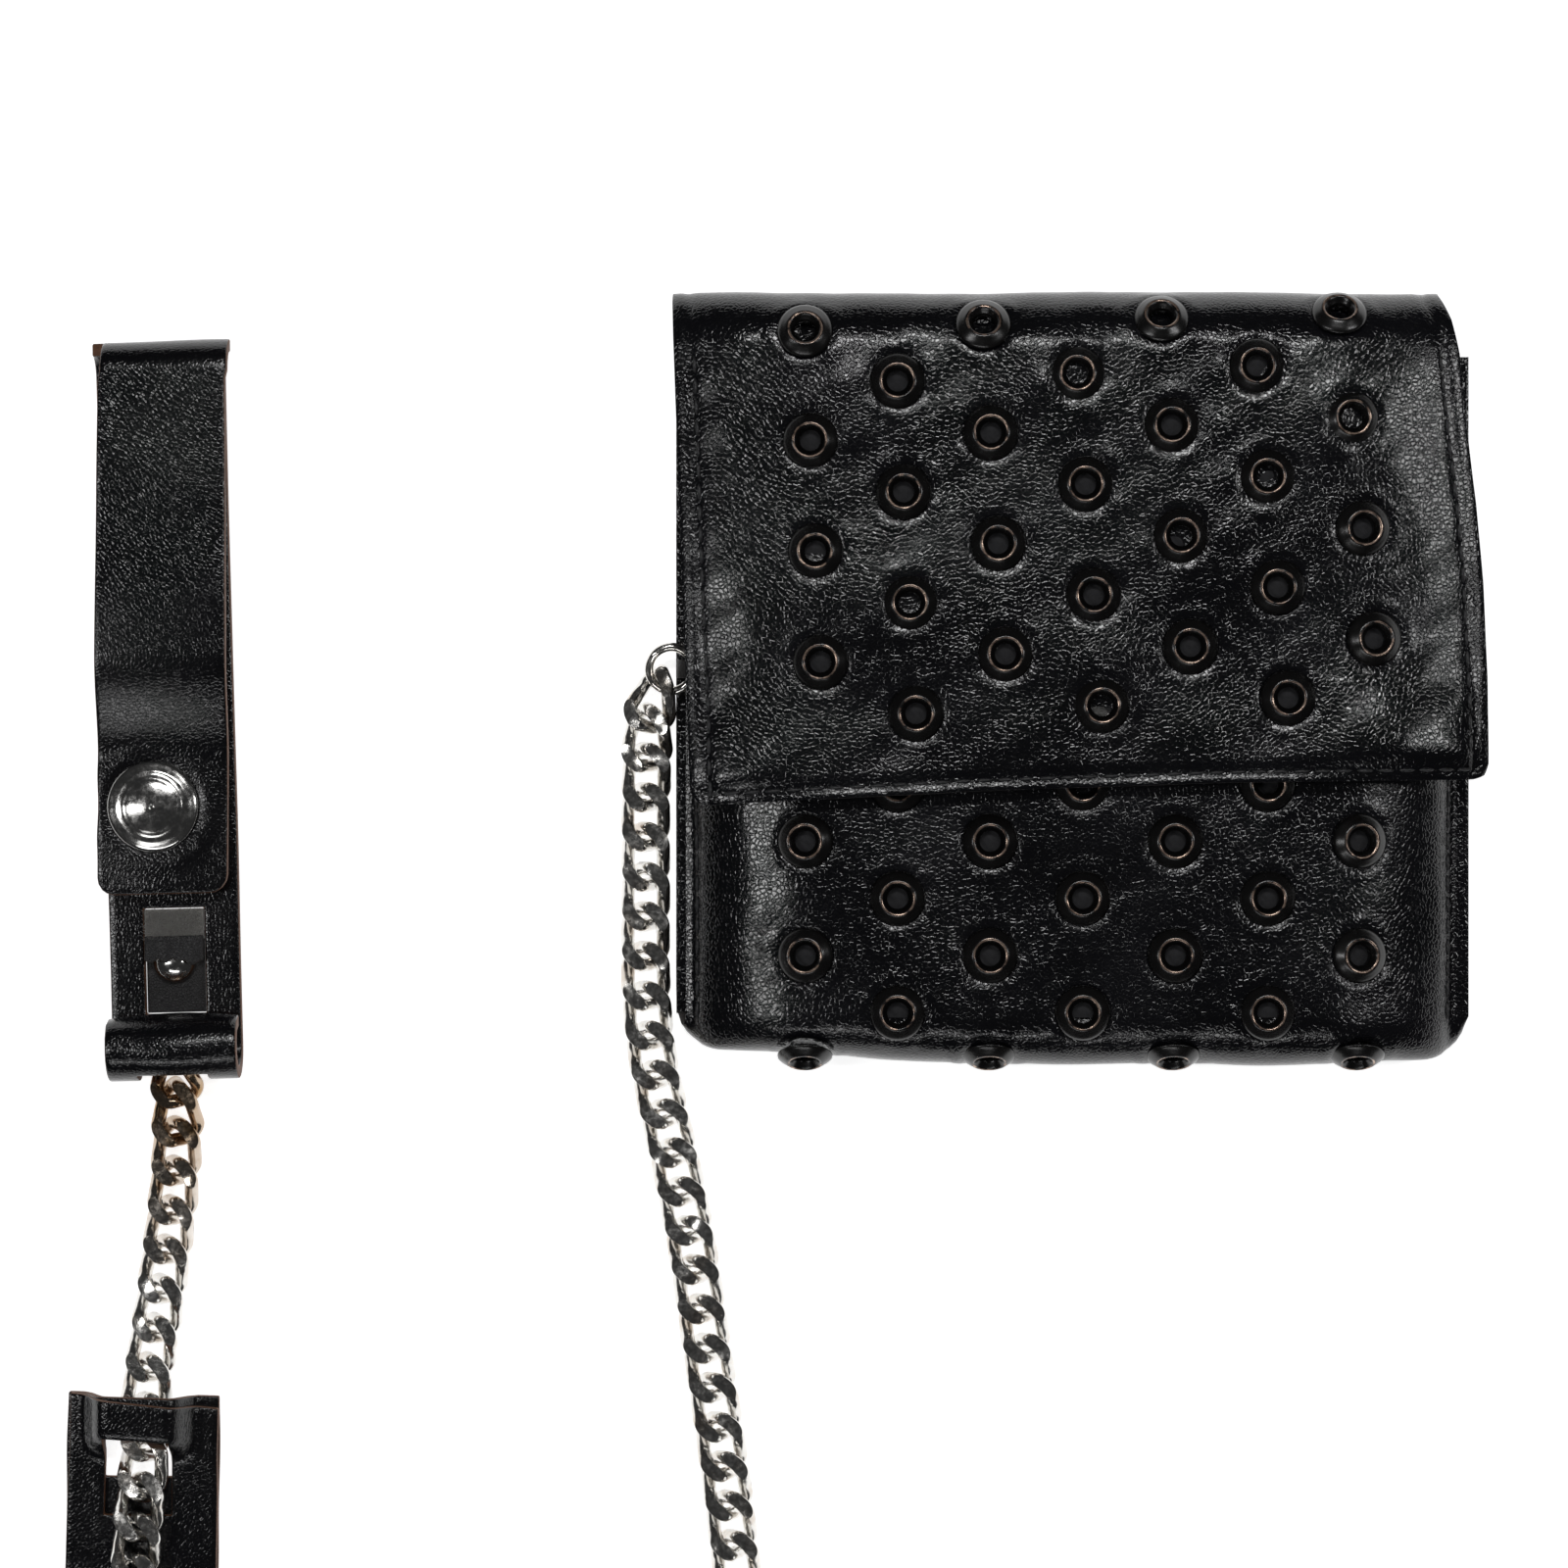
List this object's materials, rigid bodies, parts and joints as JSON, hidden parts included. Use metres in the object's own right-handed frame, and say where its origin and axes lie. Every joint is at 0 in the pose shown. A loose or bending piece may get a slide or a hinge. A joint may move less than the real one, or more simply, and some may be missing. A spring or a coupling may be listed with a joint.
{
  "type": "chain wallet",
  "caption": "Leather flap wallet set with rows of open eyelets, on a curb chain that runs through a leather keeper to a snap belt loop.",
  "frame": {"origin": "middle of the wallet's back face, where it lies on the table", "axes": "+X to the wallet's right, +Y up the wallet towards its top fold, +Z out of the flap; the belt loop lies at -X"},
  "size_m": [0.1912, 0.2795, 0.0175],
  "materials": {
    "black_leather": "satin",
    "strap_leather": "satin",
    "lining_cloth": "matte",
    "enamelled_brass": "gloss",
    "plated_steel": "polished",
    "snap_steel": "polished",
    "felt_nap": "matte"
  },
  "bodies": {
    "wallet": {"outer_shell": "black_leather", "front_lining": "lining_cloth", "back_lining": "lining_cloth", "note_divider": "lining_cloth", "card_pocket_rear": "black_leather", "card_pocket_front": "black_leather", "front_eyelets": "enamelled_brass", "front_snap_stud": "snap_steel", "chain_tab": "black_leather"},
    "fold": {"top_fold": "black_leather"},
    "flap": {"flap_leather": "black_leather", "flap_lining": "lining_cloth", "flap_eyelets": "enamelled_brass", "flap_snap_socket": "snap_steel"},
    "ring": {"wallet_ring": "plated_steel"},
    "chain_run_01": {"chain_01": "plated_steel"},
    "chain_run_02": {"chain_02": "plated_steel"},
    "chain_run_03": {"chain_03": "plated_steel"},
    "chain_run_04": {"chain_04": "plated_steel"},
    "chain_run_05": {"chain_05": "plated_steel"},
    "chain_run_06": {"chain_06": "plated_steel"},
    "chain_run_07": {"chain_07": "plated_steel"},
    "chain_run_08": {"chain_08": "plated_steel"},
    "chain_run_09": {"chain_09": "plated_steel"},
    "keeper_run": {"chain_10": "plated_steel", "keeper_lower_ply": "strap_leather", "keeper_upper_ply": "strap_leather"},
    "chain_end": {"chain_11": "plated_steel", "end_bar": "plated_steel"},
    "strap": {"strap_back": "strap_leather", "window_floor": "strap_leather", "nap_tab": "felt_nap", "cover_band": "strap_leather", "rivet_dome": "enamelled_brass", "rivet_post": "enamelled_brass", "snap_stud": "snap_steel"},
    "tongue": {"strap_tongue": "strap_leather", "snap_cap": "snap_steel", "snap_socket": "snap_steel"}
  },
  "joints": [
    {"name": "flap_fold_lower", "type": "hinge", "parent": "wallet", "child": "fold", "pos_m": [0, 0.04988, 0.00172], "axis": [-1, 0, 0], "range_deg": [0, 82]},
    {"name": "flap_fold_upper", "type": "hinge", "parent": "fold", "child": "flap", "pos_m": [0, 0.04988, 0.01428], "axis": [-1, 0, 0], "range_deg": [0, 82]},
    {"name": "ring_swing", "type": "hinge", "parent": "wallet", "child": "ring", "pos_m": [-0.054, 0.0013, 0.0041], "axis": [0, 0, -1], "range_deg": [0, 8]},
    {"name": "chain_bend_01", "type": "hinge", "parent": "ring", "child": "chain_run_01", "pos_m": [-0.05572, -0.0011, 0.00359], "axis": [0, 0, -1], "range_deg": [0, 6]},
    {"name": "chain_bend_02", "type": "hinge", "parent": "chain_run_01", "child": "chain_run_02", "pos_m": [-0.05754, -0.03745, 0.00191], "axis": [0, 0, -1], "range_deg": [0, 8]},
    {"name": "chain_bend_03", "type": "hinge", "parent": "chain_run_02", "child": "chain_run_03", "pos_m": [-0.05163, -0.07449, 0.00191], "axis": [0, 0, 1], "range_deg": [-12, 12]},
    {"name": "chain_bend_04", "type": "hinge", "parent": "chain_run_03", "child": "chain_run_04", "pos_m": [-0.04618, -0.1117, 0.00191], "axis": [0, 0, -1], "range_deg": [-12, 12]},
    {"name": "chain_bend_05", "type": "hinge", "parent": "chain_run_04", "child": "chain_run_05", "pos_m": [-0.04276, -0.14914, 0.00191], "axis": [0, 0, 1], "range_deg": [-12, 12]},
    {"name": "chain_bend_06", "type": "hinge", "parent": "chain_run_05", "child": "chain_run_06", "pos_m": [-0.04535, -0.18654, 0.00191], "axis": [0, 0, -1], "range_deg": [-12, 12]},
    {"name": "chain_bend_07", "type": "hinge", "parent": "chain_run_06", "child": "chain_run_07", "pos_m": [-0.06488, -0.21775, 0.00191], "axis": [0, 0, 1], "range_deg": [-12, 12]},
    {"name": "chain_bend_08", "type": "hinge", "parent": "chain_run_07", "child": "chain_run_08", "pos_m": [-0.10063, -0.22129, 0.00191], "axis": [0, 0, -1], "range_deg": [-12, 12]},
    {"name": "chain_bend_09", "type": "hinge", "parent": "chain_run_08", "child": "chain_run_09", "pos_m": [-0.12464, -0.19366, 0.00192], "axis": [0, 0, 1], "range_deg": [-12, 12]},
    {"name": "chain_bend_10", "type": "hinge", "parent": "chain_run_09", "child": "keeper_run", "pos_m": [-0.12711, -0.15135, 0.00202], "axis": [0, 0, -1], "range_deg": [-12, 12]},
    {"name": "chain_bend_11", "type": "hinge", "parent": "keeper_run", "child": "chain_end", "pos_m": [-0.12461, -0.09309, 0.00196], "axis": [0, 0, 1], "range_deg": [-12, 12]},
    {"name": "strap_lift", "type": "hinge", "parent": "chain_end", "child": "strap", "pos_m": [-0.12085, -0.05127, 0.0044], "axis": [0.9997, 0.0253, 0], "range_deg": [0, 12]},
    {"name": "tongue_open", "type": "hinge", "parent": "strap", "child": "tongue", "pos_m": [-0.1233, 0.0454, 0.0044], "axis": [-0.9997, -0.0253, 0], "range_deg": [0, 95]}
  ],
  "couplings": [
    {"joint": "flap_fold_lower", "follows": "flap_fold_upper", "ratio": 1}
  ]
}
